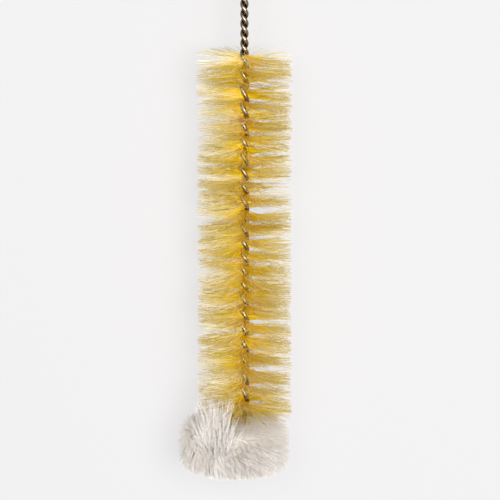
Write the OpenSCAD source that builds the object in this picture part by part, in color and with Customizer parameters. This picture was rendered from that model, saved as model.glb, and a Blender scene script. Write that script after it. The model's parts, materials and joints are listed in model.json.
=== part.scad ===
// Laboratory bottle brush, lying on its side with its tip towards -Y. Millimetres.
// One steel wire is folded at the hanging eye, and its two strands are twisted round a flat
// layer of bristle, so that the bristle stands out as a two-start spiral leaf. A soft tuft
// covers the cut ends of the wire at the tip.

/* [Brush] */
// Overall length, from the end of the tuft to the top of the hanging eye
overall_len = 353; // [320:1:420]
// Diameter over the bristle ends
head_d = 40; // [30:1:56]
// Length of stem that carries bristle
head_len = 153; // [110:1:190]
// How far the lowest bristle ends are pressed flat where the brush lies on them
rest_flat = 0.4; // [0.2:0.1:1.2]

/* [Wire] */
// Diameter of the wire
wire_d = 1.7; // [1.2:0.1:2.2]
// Length of stem in which a bare strand makes one turn
stem_pitch = 8.06; // [7:0.02:12]
// Length of stem in which a strand makes one turn between the bristles, on average
head_pitch = 12.8; // [10.6:0.1:16]
// How much more the twist is halfway along the head than on average, as a share of it
twist_swing = 0.1; // [0:0.01:0.2]
// Length past the bristle's grip over which the twist tightens
tighten_len = 2; // [1:0.5:12]
// Length past the bristle's grip over which the strands close up on each other
close_len = 4; // [2:0.5:12]

/* [Bristle] */
// Thickness of the bristle layer that the two strands grip
layer_t = 0.3; // [0.2:0.05:0.8]
// Half the angle that the bristle has spread to at its ends
rim_half = 60; // [30:1:68]
// How far the last bristle leans out past the wire's grip on it
end_splay = 3.5; // [0:0.5:8]

/* [Hanging eye] */
// Clear diameter of the eye
eye_inner_d = 18.3; // [12:0.1:26]
// Bend radius of the wire where it leaves the twist for the eye
neck_bend_r = 5; // [3:0.5:10]
// Length over which the twist dies out below the eye
ease_len = 8; // [5:0.5:16]

/* [Tuft] */
// Diameter of the tuft
tuft_d = 46; // [42:1:60]
// Length of the tuft along the stem
tuft_len = 23; // [17:1:30]
// How far the tuft has sagged sideways, towards -X
tuft_sag = 4.5; // [0:0.5:8]
// Length of twisted wire inside the tuft
wire_reach = 12; // [8:0.5:14]

/* [Fit] */
// Space between a strand and the bristle layer
grip_gap = 0.15; // [0.15:0.05:0.3]
// Space between the two bare strands
strand_gap = 0.06; // [0.04:0.02:0.2]
// Space between the tuft and what it sits on
tuft_gap = 0.3; // [0.1:0.05:0.5]

/* [Hidden] */

// Distances along the stem are measured from the end of the tuft
wire_start = tuft_len - wire_reach;
bristle_start = tuft_len + tuft_gap;
bristle_end = bristle_start + head_len;
grip_end = bristle_end - end_splay;

// Radii on which the strands' centre lines run round the stem's axis
wire_r = wire_d / 2;
grip_r = wire_r + grip_gap + layer_t / 2;
bare_r = wire_r + strand_gap / 2;

// The eye is a ring, joined by two small bends to the end of the twist
eye_r = eye_inner_d / 2 + wire_r;
eye_centre = overall_len - wire_r - eye_r;
neck_x = bare_r + neck_bend_r;
neck_angle = acos(neck_x / (eye_r + neck_bend_r));
eye_start = eye_centre - (eye_r + neck_bend_r) * sin(neck_angle);

// The axis lies as high as the pressed bristle lets it, and the origin is under the middle
head_r = head_d / 2;
tuft_r = tuft_d / 2;
axis_height = head_r - rest_flat;
reach_left = max(head_r, tuft_r + tuft_sag);
reach_right = max(head_r, tuft_r - tuft_sag);
axis_x = (reach_left - reach_right) / 2;

// The bristle layer is thin as far out as the strands reach, and spreads from there. It
// starts to lean out towards the stem half a radius before the grip ends.
layer_edge = 1.4 * wire_r;
lean_start = grip_end - head_r / 2;

// The tuft is a rounded drum: 1 would make its outline an ellipse, and 0 a rectangle
tuft_roundness = 0.5;

// Its socket starts below the wire's ends, which are cut square to the sloping strands
socket_r = grip_r + wire_r + tuft_gap;
socket_start = wire_start - wire_r - tuft_gap;

// Fineness of the computed surfaces
wire_sides = 8;
rings_per_turn = 8;
neck_steps = 4;
eye_steps = 26;
slices_per_turn = 16;
rim_steps = 4;
tuft_steps = 24;

// How far s has gone from a to b, from 0 to 1, and the running sum of that
function share(s, a, b) = max(0, min(1, (s - a) / (b - a)));
function share_sum(s, a, b) = s < a ? 0 : s < b ? pow(s - a, 2) / (2 * (b - a)) : s - (a + b) / 2;

// Twist in degrees per millimetre. It rises and falls once along the head, from end_rate to
// end_rate, is quicker in the bare stem, and dies out at the eye.
head_rate = 360 / head_pitch;
stem_rate = 360 / stem_pitch;
end_rate = head_rate * (1 - twist_swing);
tighten_end = grip_end + tighten_len;
ease_start = eye_start - ease_len;
function head_share(s) = share(s, bristle_start, grip_end);
function twist_rate(s) = head_rate * (1 - twist_swing * cos(360 * head_share(s)))
    + (stem_rate - end_rate) * share(s, grip_end, tighten_end)
    - stem_rate * share(s, ease_start, eye_start);

// Running sum of the twist: in the head, end_rate with the rise and fall added to it
function swing_sum(u) = (grip_end - bristle_start) * (u - sin(360 * u) / (2 * PI));
function twist_sum(s) = end_rate * s
    + head_rate * twist_swing * swing_sum(head_share(s))
    + (stem_rate - end_rate) * share_sum(s, grip_end, tighten_end)
    - stem_rate * share_sum(s, ease_start, eye_start);

// Angle of the first strand, from +X towards +Z: a left-handed twist that ends flat at the eye
function twist(s) = twist_sum(s) - twist_sum(eye_start);
function strand_r(s) = grip_r + (bare_r - grip_r) * share(s, grip_end, grip_end + close_len);

// Stations along the stem from s0 to s1, so many to a turn of the twist
function station_step(s, per_turn) = 360 / per_turn / max(end_rate, twist_rate(s));
function stations(s0, s1, per_turn) = concat(
    [for (s = s0; s < s1 - station_step(s, per_turn) / 2; s = s + station_step(s, per_turn)) s],
    [s1]
);
function backwards(list) = [for (k = [len(list) - 1 : -1 : 0]) list[k]];

// Places the brush on its side, resting at height 0
module lay_down() {
    translate([axis_x, -overall_len / 2, axis_height]) children();
}

// Closed surface through rings of equally many points. Each quad is cut along the diagonal
// from its first corner, or along the other diagonal in the columns listed in crossed. Each
// end is cut into two fans, which spread from the first corner of each half of the ring.
function end_fans(n) = [
    for (first = [0, n / 2]) each [
        for (k = [1 : n / 2 - 2]) [first, first + k, first + k + 1],
        [first, first + n / 2 - 1, (first + n - 1) % n]
    ]
];
module skin(rings, crossed = []) {
    n = len(rings[0]);
    last = (len(rings) - 1) * n;
    polyhedron(
        points = [for (ring = rings) each ring],
        faces = [
            for (fan = end_fans(n)) each [fan, [last + fan[2], last + fan[1], last + fan[0]]],
            for (i = [0 : n : last - n], k = [0 : n - 1])
                let (a = i + k, b = a + n, d = i + (k + 1) % n, c = d + n)
                    each len(search(k, crossed)) > 0 ? [[a, b, d], [b, c, d]] : [[a, b, c], [a, c, d]]
        ]
    );
}

// Ring of the wire's section: along is the way that the wire runs, and side is square to it
function wire_ring(centre, side, along) = [
    for (k = [0 : wire_sides - 1])
        let (a = 360 * k / wire_sides)
            centre + wire_r * (cos(a) * side + sin(a) * cross(along, side))
];

// Rings along a strand at the given stations, run towards the eye (way 1) or back (way -1)
function strand(at, turn, way) = [
    for (s = at)
        let (a = twist(s) + turn, r = strand_r(s), slope = r * twist_rate(s) * PI / 180,
            along = way * [-slope * sin(a), 1, slope * cos(a)])
                wire_ring([r * cos(a), s, r * sin(a)], [cos(a), 0, sin(a)], along / norm(along))
];

// Rings along an arc of the eye from angle a0 to a1: bulge is 1 where the wire's right side
// faces away from the arc's centre, and -1 where it faces the centre
function eye_arc(centre, radius, a0, a1, steps, bulge) = [
    for (k = [1 : steps])
        let (a = a0 + (a1 - a0) * k / steps, out = [cos(a), sin(a), 0])
            wire_ring(centre + radius * out, bulge * out, bulge * [-out[1], out[0], 0])
];

// The wire runs up one strand, round the eye and down the other strand
module stem_wire() color([0.55, 0.52, 0.48]) lay_down() {
    climb = stations(wire_start, eye_start, rings_per_turn);
    descent = [for (s = backwards(climb)) if (s < eye_start) s];
    skin(concat(
        strand(climb, 0, 1),
        eye_arc([neck_x, eye_start, 0], neck_bend_r, 180, 180 - neck_angle, neck_steps, -1),
        eye_arc([0, eye_centre, 0], eye_r, -neck_angle, 180 + neck_angle, eye_steps, 1),
        eye_arc([-neck_x, eye_start, 0], neck_bend_r, neck_angle, 0, neck_steps, -1),
        strand(descent, 180, -1)
    ));
}

// Half of the bristle's section: the thin layer, the rim and the middle of the layer
function half_section(side) = side * [
    [layer_edge, -layer_t / 2],
    for (k = [0 : rim_steps])
        let (a = rim_half * (2 * k / rim_steps - 1))
            head_r * [cos(a), sin(a)],
    [layer_edge, layer_t / 2],
    [0, layer_t / 2]
];

// Section of the bristle at s, square to the line between the strands. Near the end of the
// grip it leans out, most at the rim, and it is flat where the brush rests on it.
function bristle_slice(s) = [
    for (p = concat(half_section(1), half_section(-1)))
        let (a = twist(s) + 90,
            lean = end_splay * share(s, lean_start, grip_end) * share(norm(p), grip_r + wire_r, head_r),
            x = p[0] * cos(a) - p[1] * sin(a),
            z = p[0] * sin(a) + p[1] * cos(a))
                [x, s + lean, max(-axis_height, z)]
];

// The bristle is one leaf, thin between the strands and spreading to its rim on both sides
module bristles() color([0.86, 0.69, 0.28]) lay_down() {
    half = len(half_section(1));
    skin(
        [for (s = backwards(stations(bristle_start, grip_end, slices_per_turn))) bristle_slice(s)],
        crossed = [0, half - 1, half, 2 * half - 1]
    );
}

// Half outline of the tuft, turned round its own axis
module tuft_outline() {
    middle = tuft_len / 2;
    polygon([
        for (k = [0 : tuft_steps])
            let (a = 180 * k / tuft_steps, rise = pow(abs(cos(a)), tuft_roundness))
                [tuft_r * pow(sin(a), tuft_roundness), middle * (1 - sign(cos(a)) * rise)]
    ]);
}

// The tuft is pressed flat on its underside, and sits on the ends of the wire
module tip_tuft() color([0.90, 0.88, 0.85]) lay_down() difference() {
    translate([-tuft_sag, 0, 0])
        rotate([-90, 0, 0])
            rotate_extrude($fn = 96)
                tuft_outline();
    translate([-tuft_d, -tuft_len / 2, -axis_height - tuft_d])
        cube([2 * tuft_d, 2 * tuft_len, tuft_d]);
    translate([0, socket_start, 0])
        rotate([-90, 0, 0])
            cylinder(r = socket_r, h = tuft_len, $fn = 48);
}

stem_wire();
bristles();
tip_tuft();
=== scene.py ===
# %% [markdown]
# # A laboratory bottle brush
#
# The real brush is one steel wire, folded in half round a hanging eye. A thin layer of yellow
# bristle is laid between the two halves, and when they are twisted together the layer turns
# into a spiral leaf that stands out on both sides. A tuft of soft white fibre is caught in the
# last turns, so that the cut ends of the wire can't scratch the glass.
#
# The imported model gives the place and size of each piece. This lesson replaces its plain
# solids by a smooth wire, many thousand single bristles and a tuft of loose fibre.
#
# For each new piece, attach says which body it moves with, and hide_parts hides the imported
# piece that it stands for.

import json
import math

import bpy
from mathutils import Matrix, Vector


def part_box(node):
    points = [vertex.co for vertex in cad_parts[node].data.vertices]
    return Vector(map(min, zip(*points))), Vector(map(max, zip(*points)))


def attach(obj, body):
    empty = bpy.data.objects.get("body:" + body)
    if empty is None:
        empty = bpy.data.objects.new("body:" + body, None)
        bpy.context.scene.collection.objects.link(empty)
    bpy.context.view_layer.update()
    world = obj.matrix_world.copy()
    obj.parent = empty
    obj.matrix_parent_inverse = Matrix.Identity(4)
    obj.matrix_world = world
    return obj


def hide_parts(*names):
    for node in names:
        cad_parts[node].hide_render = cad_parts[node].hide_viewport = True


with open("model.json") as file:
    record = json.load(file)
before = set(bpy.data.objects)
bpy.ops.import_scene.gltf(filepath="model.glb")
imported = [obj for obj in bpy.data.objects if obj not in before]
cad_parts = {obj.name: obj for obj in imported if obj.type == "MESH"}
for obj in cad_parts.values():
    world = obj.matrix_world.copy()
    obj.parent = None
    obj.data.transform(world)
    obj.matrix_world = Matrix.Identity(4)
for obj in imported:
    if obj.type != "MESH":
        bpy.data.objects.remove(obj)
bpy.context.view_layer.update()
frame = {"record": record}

# %% [markdown]
# ## Sizes
#
# Every place on the brush is measured along the stem and round it, so the sizes come first.
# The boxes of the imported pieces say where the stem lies, how long the head is and how far the
# bristle reaches. Only the twist of the wire isn't in a box, so its pitches, and the lengths
# over which it changes, are named here. Blender counts in metres, and a small thing such as a
# brush is easier to read in millimetres, so MM turns one into the other.

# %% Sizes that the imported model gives, in metres
MM = 0.001
eye_mount = frame["record"]["mounts"][0]
axis_x, eye_centre_y, axis_z = eye_mount["pos_m"]
wire_radius = eye_mount["dims"]["length_mm"] * MM / 2
eye_radius = eye_mount["dims"]["r_mm"] * MM + wire_radius
head_low, head_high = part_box("bristles")
tuft_low, tuft_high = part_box("tip_tuft")
tip_y = tuft_low.y
head_radius = (head_high.x - head_low.x) / 2
tuft_radius = (tuft_high.x - tuft_low.x) / 2
tuft_x = (tuft_high.x + tuft_low.x) / 2
tuft_length = tuft_high.y - tuft_low.y
bristle_start = head_low.y - tip_y
bristle_end = head_high.y - tip_y
eye_centre = eye_centre_y - tip_y
print(f"head: {(bristle_end - bristle_start) / MM:.1f} mm long, radius {head_radius / MM:.1f} mm")
print(f"tuft: {tuft_length / MM:.1f} mm long, radius {tuft_radius / MM:.1f} mm")

# %% Sizes of the twist, in metres
head_pitch = 12.8 * MM  # one turn of the strands where they grip bristle, on average
stem_pitch = 8.06 * MM  # one turn of the bare stem
twist_swing = 0.1  # the twist is slower by this share at the head's ends, quicker halfway
tighten_length = 2 * MM  # over which the head's pitch becomes the stem's
close_length = 4 * MM  # over which the strands close up on each other
end_splay = 3.5 * MM  # how far the last bristles stand above the place that grips them
ease_length = 8 * MM  # over which the twist dies out below the eye
neck_bend = 5 * MM  # radius of the two small bends that part the strands
wire_reach = 12 * MM  # how deep the wire goes into the tuft
grip_gap = 0.3 * MM  # half the room that the bristle takes between the strands
bare_gap = 0.03 * MM  # half the room between them in the bare stem
grip_radius = wire_radius + grip_gap
bare_radius = wire_radius + bare_gap
print(f"pitch: {head_pitch / MM:.1f} mm in the head, {stem_pitch / MM:.2f} mm in the bare stem")

# %% [markdown]
# ## The twist
#
# Both the wire and the bristle follow one angle: how far the two strands have turned at a
# distance s from the tip. The twist is slow in the head, where bristle fills the space between
# the strands, quick in the bare stem, and dies out where the strands part for the eye. One
# function gives that angle, so that the bristle always leaves the wire between its strands.

# %% The angle of the strands at a distance s from the tip, in radians
grip_end = bristle_end - end_splay
neck_x = bare_radius + neck_bend
neck_angle = math.acos(neck_x / (eye_radius + neck_bend))
eye_start = eye_centre - (eye_radius + neck_bend) * math.sin(neck_angle)
head_rate = 2 * math.pi / head_pitch
stem_rate = 2 * math.pi / stem_pitch
end_rate = head_rate * (1 - twist_swing)


def share(s, a, b):
    return max(0.0, min(1.0, (s - a) / (b - a)))


def share_sum(s, a, b):
    return 0.0 if s < a else (s - a) ** 2 / (2 * (b - a)) if s < b else s - (a + b) / 2


def twist_rate(s):
    swing = 1 - twist_swing * math.cos(2 * math.pi * share(s, bristle_start, grip_end))
    tighten = (stem_rate - end_rate) * share(s, grip_end, grip_end + tighten_length)
    return head_rate * swing + tighten - stem_rate * share(s, eye_start - ease_length, eye_start)


def twist_sum(s):
    u = share(s, bristle_start, grip_end)
    swing = (grip_end - bristle_start) * (u - math.sin(2 * math.pi * u) / (2 * math.pi))
    tighten = (stem_rate - end_rate) * share_sum(s, grip_end, grip_end + tighten_length)
    ease = stem_rate * share_sum(s, eye_start - ease_length, eye_start)
    return end_rate * s + head_rate * twist_swing * swing + tighten - ease


def twist(s):
    return twist_sum(s) - twist_sum(eye_start)


print(f"turns in the head: {(twist(grip_end) - twist(bristle_start)) / (2 * math.pi):.2f}")

# %% Stations along the stem, an even step of twist apart
rings_per_turn = 24


def stations(s0, s1, per_turn):
    found = []
    s = s0
    while True:
        step = 2 * math.pi / per_turn / max(end_rate, twist_rate(s))
        if s > s1 - step / 2:
            return found + [s1]
        found.append(s)
        s += step


print(f"stations in the head: {len(stations(bristle_start, grip_end, rings_per_turn))}")

# %% [markdown]
# ## A short way to write node trees
#
# What repeats on this brush, or follows a path, is made by Geometry Nodes: a tree with named
# inputs can be run again with other values, as a modifier in Blender's window can. Clicking
# more than five hundred nodes together is slow, so the trees are built here, node by node.
# Helpers keep that short: add_node places a node and fills its sockets, and Field lets a
# formula be written as a formula, while each sign in it still becomes one Math node.
#
# Chance comes in two kinds. random gives every value between two limits alike. bell adds up
# three such draws, so that small values are common and large ones rare, as they are in things
# made by hand. Every draw has a seed of its own, so the brush is the same each time.
#
# Each tree ends in Realize Instances and Set Material. Its result is then kept as a plain
# mesh, so that other programs can read the piece as well.

# %% A helper that adds a node and fills its sockets
def add_node(tree, kind, inputs=None, **settings):
    node = tree.nodes.new(kind)
    for name, value in settings.items():
        setattr(node, name, value)
    for name, value in (inputs or {}).items():
        socket = node.inputs[name]
        if isinstance(value, Field):
            value = value.socket
        if isinstance(value, bpy.types.NodeSocket):
            tree.links.new(value, socket)
        else:
            socket.default_value = value
    return node


# %% A number in a node tree that can be written in a formula
class Field:
    def __init__(self, tree, socket):
        self.tree = tree
        self.socket = socket

    def math(self, operation, *others):
        inputs = dict(enumerate((self, *others)))
        node = add_node(self.tree, "ShaderNodeMath", inputs, operation=operation)
        return Field(self.tree, node.outputs[0])

    def __add__(self, other):
        return self.math("ADD", other)

    def __sub__(self, other):
        return self.math("SUBTRACT", other)

    def __mul__(self, other):
        return self.math("MULTIPLY", other)

    def __truediv__(self, other):
        return self.math("DIVIDE", other)

    def __rsub__(self, other):
        return self * -1 + other

    __radd__ = __add__


# %% The same for a direction or a place
class Arrow(Field):
    def math(self, operation, *others):
        inputs = dict(enumerate((self, *others)))
        node = add_node(self.tree, "ShaderNodeVectorMath", inputs, operation=operation)
        return Arrow(self.tree, node.outputs[0])

    def __mul__(self, number):
        inputs = {0: self, "Scale": number}
        node = add_node(self.tree, "ShaderNodeVectorMath", inputs, operation="SCALE")
        return Arrow(self.tree, node.outputs[0])

    def split(self):
        node = add_node(self.tree, "ShaderNodeSeparateXYZ", {0: self})
        return [Field(self.tree, socket) for socket in node.outputs]


def join(tree, x, y, z):
    node = add_node(tree, "ShaderNodeCombineXYZ", {"X": x, "Y": y, "Z": z})
    return Arrow(tree, node.outputs[0])


# %% A Geometry Nodes tree with named inputs, built step by step
class Tree:
    def __init__(self, name, inputs):
        self.tree = bpy.data.node_groups.new(name, "GeometryNodeTree")
        sockets = self.tree.interface
        sockets.new_socket("Geometry", in_out="INPUT", socket_type="NodeSocketGeometry")
        for label, kind in inputs.items():
            sockets.new_socket(label, in_out="INPUT", socket_type="NodeSocket" + kind)
        sockets.new_socket("Geometry", in_out="OUTPUT", socket_type="NodeSocketGeometry")
        self.given = add_node(self.tree, "NodeGroupInput")
        self.geometry = self.given.outputs["Geometry"]
        self.draws = 0

    def __getitem__(self, label):
        return Field(self.tree, self.given.outputs[label])

    def start(self, kind, inputs=None, **settings):
        node = add_node(self.tree, kind, inputs, **settings)
        self.geometry = node.outputs[0]
        return node

    def step(self, kind, inputs=None, **settings):
        before = self.geometry
        node = self.start(kind, inputs, **settings)
        self.tree.links.new(before, node.inputs[0])
        return node

    def finish(self):
        self.step("GeometryNodeRealizeInstances")
        self.step("GeometryNodeSetMaterial", {"Material": self["Material"]})
        add_node(self.tree, "NodeGroupOutput", {"Geometry": self.geometry})
        self.tell("finished")

    def tell(self, made):
        print(f"{self.tree.name}: {made}, {len(self.tree.nodes)} nodes")

    # what each point carries, and what differs from point to point
    def index(self):
        return Field(self.tree, add_node(self.tree, "GeometryNodeInputIndex").outputs[0])

    def store(self, label, value):
        kind = "FLOAT_VECTOR" if isinstance(value, Arrow) else "FLOAT"
        inputs = {"Name": label, "Value": value}
        self.step("GeometryNodeStoreNamedAttribute", inputs, data_type=kind)

    def read(self, label, kind=Field):
        data_type = "FLOAT_VECTOR" if kind is Arrow else "FLOAT"
        node = add_node(
            self.tree, "GeometryNodeInputNamedAttribute", {"Name": label}, data_type=data_type,
        )
        return kind(self.tree, node.outputs[0])

    def random(self, low, high):
        self.draws += 1
        inputs = {2: low, 3: high, "Seed": self["Seed"] + self.draws}
        return Field(self.tree, add_node(self.tree, "FunctionNodeRandomValue", inputs).outputs[1])

    def bell(self):
        return self.random(-1, 1) + self.random(-1, 1) + self.random(-1, 1)

    def bell_arrow(self):
        return join(self.tree, self.bell(), self.bell(), self.bell())


# %% Run a tree on an object and keep the result as a plain mesh
def grow(source, tree, name, values):
    modifier = source.modifiers.new(name, "NODES")
    modifier.node_group = tree
    for item in tree.interface.items_tree:
        if item.in_out == "INPUT" and item.name in values:
            modifier[item.identifier] = values[item.name]
    shape = source.evaluated_get(bpy.context.evaluated_depsgraph_get())
    mesh = bpy.data.meshes.new_from_object(shape)
    mesh.name = name
    piece = bpy.data.objects.new(name, mesh)
    bpy.context.scene.collection.objects.link(piece)
    source.modifiers.remove(modifier)
    triangles = sum(len(p.vertices) - 2 for p in mesh.polygons)
    print(f"{name}: {triangles} triangles")
    return piece


# %% A line of points that a tree can follow
def guide_line(name, points, **values):
    mesh = bpy.data.meshes.new(name)
    mesh.from_pydata(points, [(k, k + 1) for k in range(len(points) - 1)], [])
    for label, numbers in values.items():
        mesh.attributes.new(label, "FLOAT", "POINT").data.foreach_set("value", numbers)
    guide = bpy.data.objects.new(name, mesh)
    bpy.context.scene.collection.objects.link(guide)
    return guide


# %% [markdown]
# ## The floor, the light and the camera
#
# A brush can't stand, so it lies on a pale floor and the camera looks down on it through a
# long lens. Large soft lamps keep the shadows faint. They are set so that a pale floor renders
# as its own colour, and the finish of each piece can then be judged by its own colour too.

# %% A pale floor, large enough to fill every view
floor_size = 12.0
half = floor_size / 2
floor_mesh = bpy.data.meshes.new("studio_floor")
corners = [(-half, -half, 0), (half, -half, 0), (half, half, 0), (-half, half, 0)]
floor_mesh.from_pydata(corners, [], [(0, 1, 2, 3)])
floor = bpy.data.objects.new("studio_floor", floor_mesh)
bpy.context.scene.collection.objects.link(floor)
print(f"floor: {floor_size} m square")


# %% Its material: the camera and the steel see it nearly white, and it keeps the shadow
def new_material(name):
    material = bpy.data.materials.new(name)
    material.use_nodes = True
    tree = material.node_tree
    return material, tree, tree.nodes["Principled BSDF"]


floor_colour = (0.66, 0.655, 0.66, 1)
glow_colour = (0.84, 0.83, 0.83, 1)
glow_share = 0.8
floor_material, floor_tree, floor_shader = new_material("studio_floor")
floor_shader.inputs["Base Color"].default_value = floor_colour
floor_shader.inputs["Roughness"].default_value = 0.9
path = add_node(floor_tree, "ShaderNodeLightPath")
seen = Field(floor_tree, path.outputs["Is Camera Ray"]) + path.outputs["Is Glossy Ray"]
seen = seen + path.outputs["Is Transmission Ray"]
glow = add_node(floor_tree, "ShaderNodeEmission", {"Color": glow_colour})
floor_mix = add_node(
    floor_tree, "ShaderNodeMixShader",
    {"Fac": seen * glow_share, 1: floor_shader.outputs[0], 2: glow.outputs[0]},
)
floor_tree.links.new(floor_mix.outputs[0], floor_tree.nodes["Material Output"].inputs["Surface"])
floor_mesh.materials.append(floor_material)
print(f"floor: {glow_share:.0%} of what is seen of it is its own pale glow")

# %% Soft lamps round the brush, aimed at the middle of the head
lamp_size = 0.8
head_middle = Vector((axis_x, -0.08, 0))


def soft_lamp(name, place, watts):
    light = bpy.data.lights.new(name, "AREA")
    light.shape = "DISK"
    light.size = lamp_size
    light.energy = watts
    lamp = bpy.data.objects.new(name, light)
    lamp.location = place
    aim = head_middle - lamp.location
    lamp.rotation_euler = aim.to_track_quat("-Z", "Y").to_euler()
    bpy.context.scene.collection.objects.link(lamp)
    print(f"{name}: {watts} W, {aim.length:.2f} m away")


soft_lamp("key_lamp", Vector((-0.4, 0.4, 1.45)), watts=9.8)
soft_lamp("fill_lamp", Vector((0.42, 0.1, 1.4)), watts=24.5)
soft_lamp("back_lamp", Vector((0.2, -1.2, 0.9)), watts=5)

# %% A faint white sky, and light that may bounce often between the pale fibres
sky_strength = 0.26
fibre_bounces = 12
world = bpy.data.worlds.new("studio")
world.use_nodes = True
sky = world.node_tree.nodes["Background"]
sky.inputs["Color"].default_value = (1, 1, 1, 1)
sky.inputs["Strength"].default_value = sky_strength
bpy.context.scene.world = world
bpy.context.scene.view_settings.view_transform = "Standard"
bpy.context.scene.cycles.diffuse_bounces = fibre_bounces
print(f"sky: strength {sky_strength}")

# %% The camera looks down on the lying brush
# The image is 500 by 500 pixels. Its centre lies over the middle of the head, a little to the
# right of the stem, and the upper end of the stem runs out of its top edge.
image_pixels = 500
metres_per_pixel = 0.412 * MM
view_tilt = math.radians(11.5)
lens_angle = math.radians(8)
stem_pixel_x = 244.5
tip_pixel_y = 472.1
centre_s = (tip_pixel_y - image_pixels / 2) * metres_per_pixel / math.cos(view_tilt)
centre_x = axis_x + (image_pixels / 2 - stem_pixel_x) * metres_per_pixel
view_distance = image_pixels * metres_per_pixel / 2 / math.tan(lens_angle / 2)
look_at = Vector((centre_x, tip_y + centre_s, axis_z))
view_back = Vector((0, math.sin(view_tilt), math.cos(view_tilt)))
camera_data = bpy.data.cameras.new("camera")
camera_data.angle = lens_angle
camera_data.clip_end = 50
camera = bpy.data.objects.new("camera", camera_data)
camera.location = look_at + view_back * view_distance
camera.rotation_euler = (-view_tilt, 0, 0)
bpy.context.scene.collection.objects.link(camera)
bpy.context.scene.camera = camera
print(f"camera: {view_distance:.2f} m away, lens {camera_data.lens:.0f} mm")

# %% [markdown]
# ## The wire
#
# The stem is drawn steel wire: one strand runs up the twist, round the eye and down again.
# Its centre line follows a rule, so it is worked out point by point and swept by Geometry
# Nodes. The sweep also stores how far along and round the wire each point lies, because the
# fine drawing marks of the steel run along the wire and have to turn with it.

# %% The centre line of the one wire
def on_stem(x, s, z):
    return Vector((axis_x + x, tip_y + s, axis_z + z))


def strand_radius(s):
    return grip_radius + (bare_radius - grip_radius) * share(s, grip_end, grip_end + close_length)


def strand_point(s, turn):
    angle = twist(s) + turn
    return on_stem(strand_radius(s) * math.cos(angle), s, strand_radius(s) * math.sin(angle))


def arc_points(x, s, radius, a0, a1, steps):
    angles = [a0 + (a1 - a0) * k / steps for k in range(1, steps + 1)]
    return [on_stem(x + radius * math.cos(a), s + radius * math.sin(a), 0) for a in angles]


neck_steps = 8
eye_steps = 72
wire_start = tuft_length - wire_reach
climb = stations(wire_start, eye_start, rings_per_turn)
wire_points = [strand_point(s, 0) for s in climb]
wire_points += arc_points(neck_x, eye_start, neck_bend, math.pi, math.pi - neck_angle, neck_steps)
wire_points += arc_points(0, eye_centre, eye_radius, -neck_angle, math.pi + neck_angle, eye_steps)
wire_points += arc_points(-neck_x, eye_start, neck_bend, neck_angle, 0, neck_steps)
wire_points += [strand_point(s, math.pi) for s in reversed(climb[:-1])]
wire_length = sum((b - a).length for a, b in zip(wire_points, wire_points[1:]))
print(f"wire: {len(wire_points)} points, {wire_length:.3f} m long")

# %% A tree that sweeps a round wire along a line
sweep = Tree("swept_wire", {"Radius": "Float", "Sides": "Int", "Material": "Material"})
sweep.step("GeometryNodeMeshToCurve")
spline = add_node(sweep.tree, "GeometryNodeSplineParameter")
sweep.store("along_wire", Field(sweep.tree, spline.outputs["Length"]))
circle = add_node(
    sweep.tree, "GeometryNodeCurvePrimitiveCircle",
    {"Resolution": sweep["Sides"], "Radius": sweep["Radius"]},
)
marked_circle = add_node(
    sweep.tree, "GeometryNodeStoreNamedAttribute",
    {"Geometry": circle.outputs[0], "Name": "round_wire", "Value": spline.outputs["Factor"]},
)
sweep.step(
    "GeometryNodeCurveToMesh", {"Profile Curve": marked_circle.outputs[0], "Fill Caps": True},
)
sweep.finish()

# %% [markdown]
# ## The steel
#
# Drawn wire is smooth across and finely marked along. Its colour is painted dark brown in the
# grooves between the strands: painted shade, where the strands hide each other from the light.
# Noise on Object coordinates would run straight through the twist, so the marks read the two
# attributes that the sweep stored, and turn with the wire. The painted shade needs no
# attribute: in the grooves the surface is near the stem's axis, so the distance from the axis
# is enough to darken them.

# %% Painted shade in the grooves, by the distance from the stem's axis
groove_shade_inner = 0.75 * MM
groove_shade_outer = 1.6 * MM
# The first colour is painted shade, near black where the strands hide each other from the light;
# the second is the steel's own colour.
groove_shade_colour = (0.035, 0.024, 0.014, 1)
unshaded_steel_colour = (0.345, 0.278, 0.2, 1)
edge_tint = (0.3, 0.26, 0.22, 1)
steel, steel_tree, steel_shader = new_material("drawn_steel")
coordinates = add_node(steel_tree, "ShaderNodeTexCoord")
x, y, z = Arrow(steel_tree, coordinates.outputs["Object"]).split()
off_axis = ((x - axis_x) * (x - axis_x) + (z - axis_z) * (z - axis_z)).math("SQRT")
groove_shade = add_node(
    steel_tree, "ShaderNodeMapRange",
    {"Value": off_axis, "From Min": groove_shade_inner, "From Max": groove_shade_outer},
    interpolation_type="SMOOTHSTEP",
)
steel_colour = add_node(steel_tree, "ShaderNodeValToRGB", {"Fac": groove_shade.outputs[0]})
steel_colour.color_ramp.elements[0].color = groove_shade_colour
steel_colour.color_ramp.elements[1].color = unshaded_steel_colour
steel_tree.links.new(steel_colour.outputs[0], steel_shader.inputs["Base Color"])
steel_shader.inputs["Metallic"].default_value = 1.0
steel_shader.inputs["Specular Tint"].default_value = edge_tint
print(f"steel: dark {groove_shade_inner / MM:.2f} mm off the axis, bright from {groove_shade_outer / MM:.2f} mm")

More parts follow.
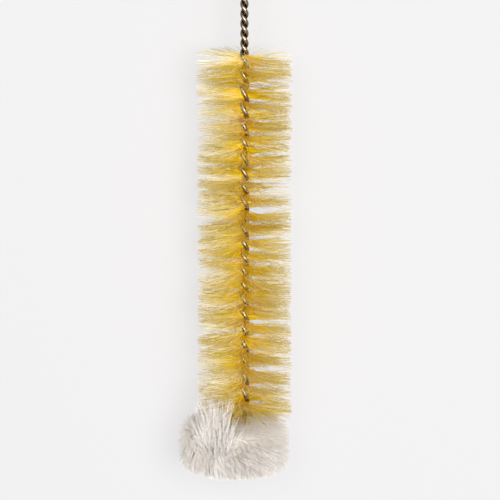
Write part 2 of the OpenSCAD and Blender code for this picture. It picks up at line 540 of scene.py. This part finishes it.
# %% Fine marks that run along the wire
# A step along the wire moves far less through the noise than the same step round it does, so
# the spots of the noise are stretched into long marks.
marks_along = 60
marks_round = 3
least_roughness = 0.2
marks_roughness = 0.2
along_wire = add_node(steel_tree, "ShaderNodeAttribute", attribute_name="along_wire")
round_wire = add_node(steel_tree, "ShaderNodeAttribute", attribute_name="round_wire")
turn_angle = Field(steel_tree, round_wire.outputs["Fac"]) * (2 * math.pi)
marks_place = join(
    steel_tree, Field(steel_tree, along_wire.outputs["Fac"]) * marks_along,
    turn_angle.math("COSINE") * marks_round, turn_angle.math("SINE") * marks_round,
)
marks = add_node(
    steel_tree, "ShaderNodeTexNoise",
    {"Vector": marks_place, "Scale": 2.0, "Detail": 3.0, "Roughness": 0.6},
)
rough = Field(steel_tree, marks.outputs["Fac"]) * marks_roughness + least_roughness
steel_tree.links.new(rough.socket, steel_shader.inputs["Roughness"])
print(f"steel: roughness {least_roughness} to {least_roughness + marks_roughness}")

# %% Sweep the wire
wire_sizes = {"Radius": wire_radius, "Sides": 14, "Material": steel}
wire_guide = guide_line("wire_guide", wire_points)
wire = grow(wire_guide, sweep.tree, "twisted_wire", wire_sizes)
bpy.data.objects.remove(wire_guide)
quad = 4  # corners of a face along the wire, while its two flat ends have more
for face in wire.data.polygons:
    face.use_smooth = len(face.vertices) == quad
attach(wire, "root")
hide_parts("stem_wire")

# %% [markdown]
# ## Fibre, yellow and white
#
# Bristle and tuft are both thin fibre, cut from long strands. Blender's own hair curves would
# be the quickest way to draw them, but a curve without a surface can't be exported, so each
# fibre becomes a real tube. A tube with three sides that gets thinner towards its tip is
# enough, because a fibre is hardly wider than a pixel and there are thousands of them.
#
# No two fibres have quite the same colour, and each is paler towards its tip, where light
# comes through. So each point of a fibre carries two numbers: along, which runs from 0 at the
# root to 1 at the tip, and tone, one value for the whole fibre. A node group turns the two
# into a colour. Both materials use it, each with colours of its own.

# %% Join joints into thin tapered threads
# The map named OFBake is laid out for baking colours. Along the fibre it runs from
# left to right, and fibres of the same tone share one narrow strip of it.
thread_sides = 3
strips = 64


def thread(tree, group, thickness, taper):
    tree.step("GeometryNodePointsToCurves", {"Curve Group ID": group, "Weight": tree.read("along")})
    triangle = add_node(
        tree.tree, "GeometryNodeCurvePrimitiveCircle", {"Resolution": thread_sides, "Radius": 1.0},
    )
    marked = add_node(
        tree.tree, "GeometryNodeStoreNamedAttribute",
        {"Geometry": triangle.outputs[0], "Name": "around", "Value": tree.index()},
    )
    width = thickness * (1 - tree.read("along") * taper)
    tree.step(
        "GeometryNodeCurveToMesh",
        {"Profile Curve": marked.outputs[0], "Scale": width, "Fill Caps": True},
    )
    tree.step("GeometryNodeSetShadeSmooth", {"Shade Smooth": False})
    strip = (tree.read("tone") * strips).math("FLOOR")
    across = (strip + tree.read("around") / thread_sides) / strips
    tree.step(
        "GeometryNodeStoreNamedAttribute",
        {"Name": "OFBake", "Value": join(tree.tree, tree.read("along"), across, 0.0)},
        data_type="FLOAT2", domain="CORNER",
    )
    tree.finish()


# %% A colour that runs along a fibre and differs from fibre to fibre
fibre_colour = bpy.data.node_groups.new("fibre_colour", "ShaderNodeTree")
for label in ("Root", "Middle", "Tip", "Pale"):
    fibre_colour.interface.new_socket(label, in_out="INPUT", socket_type="NodeSocketColor")
for label in ("Along", "Tone", "Pale Share", "Spread", "Depth", "Warmth"):
    fibre_colour.interface.new_socket(label, in_out="INPUT", socket_type="NodeSocketFloat")
fibre_colour.interface.new_socket("Color", in_out="OUTPUT", socket_type="NodeSocketColor")
given = add_node(fibre_colour, "NodeGroupInput").outputs
print(f"fibre_colour: {len(given) - 1} inputs")


def blend(factor, first, second):
    inputs = {"Factor": factor, 6: first, 7: second}
    return add_node(fibre_colour, "ShaderNodeMix", inputs, data_type="RGBA").outputs[2]


# %% From the root over the middle to the tip, and paler where the tone is high
middle = 0.45
root_paleness = 0.05
tip_paleness = 1.2
along = Field(fibre_colour, given["Along"])
near = (along / middle).math("MINIMUM", 1.0)
far = ((along - middle) / (1 - middle)).math("MAXIMUM", 0.0)
running = blend(far, blend(near, given["Root"], given["Middle"]), given["Tip"])
tone = Field(fibre_colour, given["Tone"])
paleness = add_node(
    fibre_colour, "ShaderNodeMapRange",
    {"Value": tone, "From Min": 1 - Field(fibre_colour, given["Pale Share"]), "From Max": 1.0},
    interpolation_type="SMOOTHSTEP",
)
pale_here = Field(fibre_colour, paleness.outputs[0]) * (along * tip_paleness + root_paleness)
paled = blend(pale_here.math("MINIMUM", 1.0), running, given["Pale"])
print(f"fibre_colour: the middle colour at {middle:.0%} of the fibre")

# %% Darker and fuller in colour where the tone is low
plain_tone = 0.5
root_fullness = 0.2
tip_fullness = 0.8
same_hue = 0.5  # what Blender calls a hue that stays as it is
dark = (1 - tone) * (1 - tone)
fullness = (plain_tone - tone) * (along * tip_fullness + root_fullness)
varied = add_node(
    fibre_colour, "ShaderNodeHueSaturation",
    {
        "Color": paled, "Hue": same_hue - dark * given["Warmth"],
        "Saturation": 1 + fullness * given["Spread"], "Value": 1 - dark * given["Depth"],
    },
)
add_node(fibre_colour, "NodeGroupOutput", {"Color": varied.outputs[0]})
print(f"fibre_colour: {len(fibre_colour.nodes)} nodes")


# %% One material for each kind of fibre
def fibre_material(name, colours, roughness, specular):
    material, tree, shader = new_material(name)
    along = add_node(tree, "ShaderNodeAttribute", attribute_name="along")
    tone = add_node(tree, "ShaderNodeAttribute", attribute_name="tone")
    group = add_node(tree, "ShaderNodeGroup", node_tree=fibre_colour)
    tree.links.new(along.outputs["Fac"], group.inputs["Along"])
    tree.links.new(tone.outputs["Fac"], group.inputs["Tone"])
    for label, value in colours.items():
        group.inputs[label].default_value = value
    tree.links.new(group.outputs[0], shader.inputs["Base Color"])
    shader.inputs["Roughness"].default_value = roughness
    shader.inputs["Specular IOR Level"].default_value = specular
    print(f"{name}: roughness {roughness}")
    return material


# %% The two kinds of fibre
yellow_colours = {
    "Root": (0.96, 0.662, 0.0, 1), "Middle": (0.97, 0.738, 0.015, 1),
    "Tip": (0.61, 0.5, 0.2, 1), "Pale": (0.97, 0.90, 0.74, 1),
    "Pale Share": 0.46, "Spread": 0.7, "Depth": 0.4, "Warmth": 0.01,
}
yellow = fibre_material("yellow_bristle", yellow_colours, roughness=0.4, specular=0.15)
white_colours = {
    "Root": (0.715, 0.67, 0.605, 1), "Middle": (0.705, 0.66, 0.61, 1),
    "Tip": (0.685, 0.645, 0.6, 1), "Pale": (0.84, 0.805, 0.775, 1),
    "Pale Share": 0.5, "Spread": 0.2, "Depth": 0.1, "Warmth": 0.0,
}
white = fibre_material("white_fibre", white_colours, roughness=0.6, specular=0.3)

# %% [markdown]
# ## The yellow bristles
#
# On the real brush the bristles are a flat layer, held across between the two strands. The
# twist turns the layer into a leaf with two sides. Just outside the wire each bristle springs
# a little way out of the leaf, so that the head fills up, and further out the bristles cling
# together in small locks that end in a point. That is what makes the rim of the head ragged.
#
# They could be a hair system on a helper mesh, but hair grows square to a surface and knows
# nothing of the strands. A Geometry Nodes tree can place every bristle by the twist itself. It
# works in four stages: bundles along the leaf, the locks of a bundle, the bristles of a lock
# and the joints of a bristle. Each stage hands its numbers down to the next and adds its own
# share of chance, whose seed is one of the tree's inputs. Only then are the joints put in
# place, by one formula, and joined into threads.

# %% The line that the bristles leave, with the angle of the leaf at each point
leaf_overrun = 2 * MM
leaf_end = grip_end + leaf_overrun
leaf_stations = stations(bristle_start, leaf_end, rings_per_turn)
leaf_guide = guide_line(
    "leaf_guide", [on_stem(0, s, 0) for s in leaf_stations],
    leaf_angle=[twist(s) + math.pi / 2 for s in leaf_stations],
)
print(f"leaf guide: {len(leaf_stations)} points")

# %% A tree that grows bristles out of the leaf, and its inputs
bristle_inputs = {
    "Bundles": "Int", "Locks": "Int", "Bristles": "Int", "Joints": "Int",
    "Start": "Float", "End": "Float", "From": "Float", "To": "Float",
    "Reach": "Float", "Thickness": "Float", "Spread": "Float", "Fan": "Float", "Lean": "Float",
    "Tilt": "Float", "Top Lean": "Float", "Bottom Lean": "Float", "Seed": "Int",
    "Material": "Material",
}
leaf = Tree("bristle_leaf", bristle_inputs)
leaf.step("GeometryNodeMeshToCurve")
leaf_line = leaf.geometry
leaf.tell(f"{len(bristle_inputs)} inputs")

# %% Stage 1, the bundles: from tip to top, on the two sides of the leaf in turn
uneven_cut = 0.015
leaf.start("GeometryNodePoints", {"Count": leaf["Bundles"]})
step_share = (leaf.index() + leaf.random(0, 1)) / leaf["Bundles"]
leaf.store("bundle_place", leaf["From"] + (leaf["To"] - leaf["From"]) * step_share)
leaf.store("side", leaf.index().math("MODULO", 2) * math.pi)
leaf.store("bundle_turn", leaf.bell() * leaf["Spread"])
leaf.store("bundle_lean", leaf.bell() * leaf["Lean"])
leaf.store("bundle_reach", 1 - leaf.bell().math("ABSOLUTE") * uneven_cut)
leaf.store("bundle_tone", leaf.random(0, 1))
leaf.tell("bundles")

# %% Stage 2, the locks: some bundles have many, some have few
fewest_share = 0.6
most_share = 1.45
lock_drift = 1.3 * MM
lock_lean = 0.018
lock_bend = 0.15 * MM
lock_swell = 0.7 * MM
locks_here = leaf["Locks"] * leaf.random(fewest_share, most_share)
leaf.step("GeometryNodeDuplicateElements", {"Amount": locks_here})
leaf.store("lock_place", leaf.read("bundle_place") + leaf.bell() * lock_drift)
leaf.store("lock_turn", leaf.read("bundle_turn") + leaf.bell() * leaf["Fan"])
leaf.store("lock_lean", leaf.read("bundle_lean") + leaf.bell() * lock_lean)
leaf.store("lock_tone", leaf.random(0, 1))
leaf.store("lock_bend", leaf.bell() * lock_bend)
leaf.store("lock_swell", leaf.bell() * lock_swell)
leaf.tell("locks")

# %% Stage 3, the bristles: where each one leaves the wire
# A bristle that would fall past an end of the leaf is mirrored back, so the ends stay full.
bristle_drift = 0.8 * MM
bristle_turn = 0.15
leaf.step("GeometryNodeDuplicateElements", {"Amount": leaf["Bristles"]})
leaf.store("bristle", leaf.index())
place = leaf.read("lock_place") + leaf.bell() * bristle_drift
place = leaf["End"] - (leaf["End"] - place).math("ABSOLUTE")
leaf.store("place", leaf["Start"] + (place - leaf["Start"]).math("ABSOLUTE"))
leaf.store("turn", leaf.read("lock_turn") + leaf.bell() * bristle_turn)
leaf.tell("place of each bristle")

# %% Stage 3, how far each bristle leans along the stem, most of all at the two ends
# The third power of stray is next to nothing for most bristles and large for a few of them,
# which stand out of their lock.
end_zone = 5 * MM
end_lean_range = (0.2, 1.2)
tilt_range = (0.4, 1.2)
bristle_lean = 0.005
outlier_lean = 0.014
stray = leaf.bell()
top = ((leaf.read("place") - leaf["End"]) / end_zone + 1).math("MAXIMUM", 0.0)
bottom = ((leaf["Start"] - leaf.read("place")) / end_zone + 1).math("MAXIMUM", 0.0)
end_lean = top * leaf["Top Lean"] * leaf.random(*end_lean_range)
end_lean = end_lean - bottom * leaf["Bottom Lean"] * leaf.random(*end_lean_range)
lean = leaf.read("lock_lean") + leaf["Tilt"] * leaf.random(*tilt_range) + end_lean
leaf.store("lean", lean + stray * bristle_lean + stray * stray * stray * outlier_lean)
leaf.tell("lean of each bristle")

# %% Stage 3, how long, pale, curled and bent each bristle is
# Its tone is partly that of its bundle, mostly that of its lock and partly its own.
bundle_part = 0.2
lock_part = 0.6
own_part = 0.2
top_paleness = 0.2
bristle_curl = 0.03
bristle_bend = 0.05 * MM
cut = leaf.read("bundle_reach") - leaf.bell().math("ABSOLUTE") * uneven_cut
leaf.store("reach", leaf["Reach"] * cut)
tone = leaf.read("bundle_tone") * bundle_part + leaf.read("lock_tone") * lock_part
tone = tone + leaf.random(0, own_part)
leaf.store("tone", (tone + top * top_paleness).math("MINIMUM", 1.0))
leaf.store("curl", leaf.bell() * bristle_curl)
leaf.store("bend", leaf.read("lock_bend") + leaf.bell() * bristle_bend)
leaf.tell("looks of each bristle")

# %% Stage 3, the angle of the leaf where the bristle leaves it
leaf_angle = leaf.read("leaf_angle")
up_the_leaf = leaf.read("place") - leaf["Start"]
sampled = add_node(
    leaf.tree, "GeometryNodeSampleCurve",
    {"Curves": leaf_line, "Value": leaf_angle, "Length": up_the_leaf},
    mode="LENGTH", use_all_curves=True,
)
leaf.store("leaf_turn", Field(leaf.tree, sampled.outputs["Value"]) + leaf.read("side"))
leaf.tell("turn of the leaf")

# %% Stage 4, the joints of each bristle, closer together near the wire
joint_power = 1.4
grip_exit = 1.8 * MM  # where a bristle comes out from between the strands
joint = leaf.step("GeometryNodeDuplicateElements", {"Amount": leaf["Joints"]})
leaf.store("along", Field(leaf.tree, joint.outputs["Duplicate Index"]) / (leaf["Joints"] - 1))
along = leaf.read("along")
distance = leaf.read("reach") * along.math("POWER", joint_power)
inner = distance.math("MINIMUM", grip_exit)
outer = distance - inner
leaf.tell("joints")

# %% Stage 4, the turn of each joint: square to the leaf in the wire, fanned out past it
fan_closing = 0.8
straight = leaf.read("leaf_turn")
turned = leaf.read("turn")
turned = turned + (leaf.read("bundle_turn") - leaf.read("turn")) * (along * fan_closing)
turned = straight + turned + leaf.read("curl") * along
leaf.tell("turn of each joint")

# %% Stage 4, how far along the stem each joint lies: locks swell past the wire, then close up
swell_length = 2 * MM
lock_closing = 0.95
bundle_closing = 0.5
swell = leaf.read("lock_swell") * (outer / swell_length).math("MINIMUM", 1.0)
gather = (leaf.read("lock_place") - leaf.read("place")) * lock_closing
gather = gather + (leaf.read("bundle_place") - leaf.read("lock_place")) * bundle_closing
rise = leaf.read("place") + swell + gather * along + outer * leaf.read("lean")
rise = rise + leaf.read("bend") * along * along
leaf.tell("rise of each joint")

# %% Stage 4, put the joints in place, over the floor, and join them
bristle_taper = 0.45
floor_gap = 0.1 * MM
x = inner * straight.math("COSINE") + outer * turned.math("COSINE") + axis_x
z = inner * straight.math("SINE") + outer * turned.math("SINE") + axis_z
joint_place = join(leaf.tree, x, rise + tip_y, z.math("MAXIMUM", floor_gap))
leaf.step("GeometryNodeSetPosition", {"Position": joint_place})
thread(leaf, leaf.read("bristle"), leaf["Thickness"], bristle_taper)

# %% Sizes of the bristles
bristle_sizes = {
    "Bundles": 56, "Locks": 5, "Bristles": 9, "Joints": 4, "Start": bristle_start, "End": leaf_end,
    "Reach": head_radius, "Thickness": 0.11 * MM, "Spread": math.radians(35), "Fan": 0.5,
    "Lean": math.radians(3.5), "Tilt": 0.0, "Top Lean": -0.02, "Bottom Lean": -0.08,
    "Material": yellow,
}
per_lock = bristle_sizes["Bristles"]
print(f"bristles: {per_lock} in a lock, {head_radius / MM:.1f} mm long")


def grow_bristles(name, sizes):
    bristles = grow(leaf_guide, leaf.tree, name, sizes)
    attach(bristles, "root")
    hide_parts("bristles")


# %% Grow the bristles, in four lengths of the head
parts = 4
part_length = (leaf_end - bristle_start) / parts
for k in range(parts):
    part_from = bristle_start + part_length * k
    part = {"From": part_from, "To": part_from + part_length, "Seed": 50 + 100 * k}
    grow_bristles(f"yellow_bristle_{k + 1}", bristle_sizes | part)

# %% Grow a few thin strays at the top of the head, and the last fan, which leans over the tuft
strays = {
    "Bundles": 10, "Locks": 3, "Bristles": 1, "Joints": 5,
    "From": grip_end - 3 * MM, "To": grip_end, "Thickness": 0.05 * MM,
    "Spread": math.radians(50), "Top Lean": 0.6, "Bottom Lean": 0.0, "Seed": 777,
}
grow_bristles("stray_bristles", bristle_sizes | strays)
last_fan = {
    "Bundles": 16, "Locks": 5, "Bristles": 4,
    "From": bristle_start + 5.5 * MM, "To": bristle_start + 7.5 * MM,
    "Spread": math.radians(14), "Fan": 0.14, "Tilt": -0.29, "Seed": 555,
}
grow_bristles("fanned_bristles", bristle_sizes | last_fan)
bpy.data.objects.remove(leaf_guide)

# %% [markdown]
# ## The white tuft
#
# The tuft is a bush of soft white fibre, caught in the last turns of the wire and folded over
# its cut ends. It is clipped to a short drum with rounded edges. Its fibre is combed away from a
# spot beyond its upper left edge, loose locks lie on top of it, and the longest fibres fan out
# over the last bristles.
#
# It could be one block with a rough surface, but a soft outline is what tells fibre from
# foam. Growing the whole bush would spend most of its fibres where no one can see them. So a
# closed drum fills the inside, and a second tree grows fibre on that drum only. It scatters
# locks over the surface, gives each a few fibres, combs them away from that spot, the whorl,
# and pulls every joint that would stand out of the clipped outline back onto it.

# %% The outline of the tuft, a drum with rounded edges
drum_centre = Vector((tuft_x, tip_y + tuft_length / 2, axis_z))
core_edge = 0.5  # 1 would make a ball, and 0 a drum with sharp edges
core_floor = 1.2 * MM


def drum_point(turn, slope, scale):
    out = abs(math.sin(slope)) ** core_edge
    rise = math.copysign(abs(math.cos(slope)) ** core_edge, math.cos(slope))
    x = tuft_x + scale * tuft_radius * out * math.cos(turn)
    y = drum_centre.y + scale * tuft_length / 2 * rise
    z = axis_z + scale * tuft_radius * out * math.sin(turn)
    return (x, y, max(z, core_floor))


print("middle of the tuft, in mm:", [round(v / MM, 1) for v in drum_centre])


# %% The points of the closed drum inside the tuft, row by row
core_scale = 0.8
rounds = 56
rows = 22
core_points = [drum_point(0, 0, core_scale)]
for row in range(1, rows):
    for k in range(rounds):
        core_points.append(drum_point(2 * math.pi * k / rounds, math.pi * row / rows, core_scale))
core_points.append(drum_point(0, math.pi, core_scale))
print(f"drum: {len(core_points)} points")

# %% The faces of the drum, turned outwards, with a fan of triangles at each end
core_faces = [(0, 1 + (k + 1) % rounds, 1 + k) for k in range(rounds)]
for row in range(rows - 2):
    first = 1 + row * rounds
    for k in range(rounds):
        after = (k + 1) % rounds
        core_faces.append((first + k, first + after, first + rounds + after, first + rounds + k))
last = 1 + (rows - 2) * rounds
core_faces += [(last + k, last + (k + 1) % rounds, last + rounds) for k in range(rounds)]
core_mesh = bpy.data.meshes.new("tuft_core")
core_mesh.from_pydata(core_points, [], core_faces)
core = bpy.data.objects.new("tuft_core", core_mesh)
bpy.context.scene.collection.objects.link(core)
print(f"tuft_core: {len(core_faces)} faces")

# %% A tree that grows fibre from a surface, and its inputs
fur_inputs = {
    "Spacing": "Float", "Fibres": "Int", "Joints": "Int", "Length": "Float", "Thickness": "Float",
    "Low": "Vector", "High": "Vector", "Whorl": "Vector", "Comb": "Float", "Ruffle": "Float",
    "Lift": "Float", "Radius": "Float", "Half Length": "Float", "Seed": "Int",
    "Material": "Material",
}
fur = Tree("fur", fur_inputs)
fur.tell(f"{len(fur_inputs)} inputs")

# %% Scatter the locks over the part of the surface between Low and High
most_dense = 4e6  # points in a square metre, more than Spacing ever lets through
here = Arrow(fur.tree, add_node(fur.tree, "GeometryNodeInputPosition").outputs[0])
low = Arrow(fur.tree, fur.given.outputs["Low"]).split()
high = Arrow(fur.tree, fur.given.outputs["High"]).split()
chosen = 1.0
for part, least, most in zip(here.split(), low, high):
    chosen = part.math("GREATER_THAN", least) * part.math("LESS_THAN", most) * chosen
locks = fur.step(
    "GeometryNodeDistributePointsOnFaces",
    {
        "Selection": chosen, "Distance Min": fur["Spacing"], "Density Max": most_dense,
        "Seed": fur["Seed"],
    },
    distribute_method="POISSON",
)
fur.store("lock_place", here)
fur.store("lock_normal", Arrow(fur.tree, locks.outputs["Normal"]))
fur.tell("places of the locks")

# %% Comb each lock away from the whorl
uneven_locks = 0.08
whorl = Arrow(fur.tree, fur.given.outputs["Whorl"])
combed = (fur.read("lock_place", Arrow) - whorl) * fur["Comb"]
fur.store("lock_comb", combed + fur.bell_arrow() * fur["Ruffle"])
fur.store("lock_length", fur["Length"] * (1 + fur.bell() * uneven_locks))
fur.store("lock_tone", fur.random(0, 1))
fur.tell("combed locks")

# %% The fibres of each lock
# As with the bristles, the tone is partly the lock's and partly the fibre's own.
fibre_shift = 0.25 * MM
fibre_ruffle = 0.09
uneven_fibres = 0.05
tuft_lock_part = 0.4
tuft_own_part = 0.6
fur.step("GeometryNodeDuplicateElements", {"Amount": fur["Fibres"]})
fur.store("fibre", fur.index())
fur.store("shift", fur.bell_arrow() * fibre_shift)
fur.store("comb", fur.read("lock_comb", Arrow) + fur.bell_arrow() * fibre_ruffle)
fur.store("length", fur.read("lock_length") * (1 + fur.bell() * uneven_fibres))
# A lift raises the tone of whole groups of fibres and makes them paler: painted light, so that the
# locks on top and the sweep over the middle of the tuft look more brightly lit.
painted_lift_tone = fur.read("lock_tone") * tuft_lock_part + fur.random(0, tuft_own_part) + fur["Lift"]
fur.store("tone", painted_lift_tone.math("MINIMUM", 1.0))
fur.tell("fibres")

# %% The joints of each fibre: straight out of the surface first, then bent the combed way
tip_gathering = 0.5
joint = fur.step("GeometryNodeDuplicateElements", {"Amount": fur["Joints"]})
fur.store("along", Field(fur.tree, joint.outputs["Duplicate Index"]) / (fur["Joints"] - 1))
along = fur.read("along")
normal = fur.read("lock_normal", Arrow)
direction = (normal + fur.read("comb", Arrow) * along).math("NORMALIZE")
spot = fur.read("lock_place", Arrow) + fur.read("shift", Arrow) * (1 - along * tip_gathering)
spot = spot + direction * (fur.read("length") * along)
fur.tell("joints")

# %% Clip the joints to the rounded drum
# Its outline is wide^8 + long^8 = 1. A joint outside it is pulled straight back towards the
# middle of the tuft until the sum is 1. Both terms start from squares, so half of 8 is left.
edge_power = 8
fibre_taper = 0.4
from_centre = spot - join(fur.tree, *drum_centre)
x, y, z = from_centre.split()
wide = ((x * x + z * z) / (fur["Radius"] * fur["Radius"])).math("POWER", edge_power / 2)
long = (y * y / (fur["Half Length"] * fur["Half Length"])).math("POWER", edge_power / 2)
trim = (wide + long).math("POWER", -1 / edge_power).math("MINIMUM", 1.0)
x, y, z = (from_centre * trim + join(fur.tree, *drum_centre)).split()
joint_place = join(fur.tree, x, y, z.math("MAXIMUM", floor_gap))
fur.step("GeometryNodeSetPosition", {"Position": joint_place})
thread(fur, fur.read("fibre"), fur["Thickness"], fibre_taper)

# %% Sizes of the tuft's fibres
everywhere = 1.0  # a metre to every side takes in the whole tuft
soft_edge = 1.01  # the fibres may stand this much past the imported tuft
fur_sizes = {
    "Spacing": 0.45 * MM, "Fibres": 2, "Joints": 3, "Length": 5.6 * MM, "Thickness": 0.065 * MM,
    "Whorl": on_stem(-40 * MM, 50 * MM, 16 * MM), "Comb": 15.0, "Ruffle": 0.06, "Lift": 0.0,
    "Radius": tuft_radius * soft_edge, "Half Length": tuft_length / 2 * soft_edge,
    "Material": white,
}
print(f"fibres: {fur_sizes['Fibres']} in a lock, {fur_sizes['Length'] / MM:.1f} mm long")


def grow_fur(name, sizes):
    fibres = grow(core, fur.tree, name, sizes)
    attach(fibres, "root")
    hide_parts("tip_tuft")


# %% Grow the tuft all round, thinner at the back
front = {"Low": (-everywhere, -everywhere, axis_z), "High": (everywhere,) * 3, "Seed": 901}
back = {"Low": (-everywhere,) * 3, "High": (everywhere, everywhere, axis_z), "Seed": 902}
back["Spacing"] = 0.5 * MM
grow_fur("tuft_front", fur_sizes | front)
grow_fur("tuft_back", fur_sizes | back)

# %% Grow the loose locks on top, and the long fibres that fan out over the bristles
# Their tone is raised, which makes them paler: painted light on the top and middle of the tuft.
lock_sizes = {
    "Low": on_stem(-13 * MM, 0, 8 * MM), "High": on_stem(9 * MM, 14 * MM, everywhere),
    "Spacing": 1.0 * MM, "Fibres": 8, "Length": 6.4 * MM, "Ruffle": 0.22, "Lift": 0.4, "Seed": 904,
}
grow_fur("tuft_locks", fur_sizes | lock_sizes)
sweep_sizes = {
    "Low": on_stem(-15 * MM, 9 * MM, 8 * MM), "High": on_stem(-6.5 * MM, 21 * MM, everywhere),
    "Spacing": 0.4 * MM, "Fibres": 3, "Joints": 5, "Length": 12.5 * MM, "Thickness": 0.055 * MM,
    "Whorl": on_stem(-9.5 * MM, 4.5 * MM, 15.5 * MM), "Comb": 210.0, "Ruffle": 0.25, "Lift": 0.4,
    "Half Length": everywhere, "Seed": 903,
}
grow_fur("tuft_sweep", fur_sizes | sweep_sizes)

# %% The drum itself becomes the inside of the tuft
core_mesh.materials.append(white)
print("tuft_core: keeps its", len(core_mesh.polygons), "faces and takes the white fibre's colour")
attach(core, "root")
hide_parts("tip_tuft")
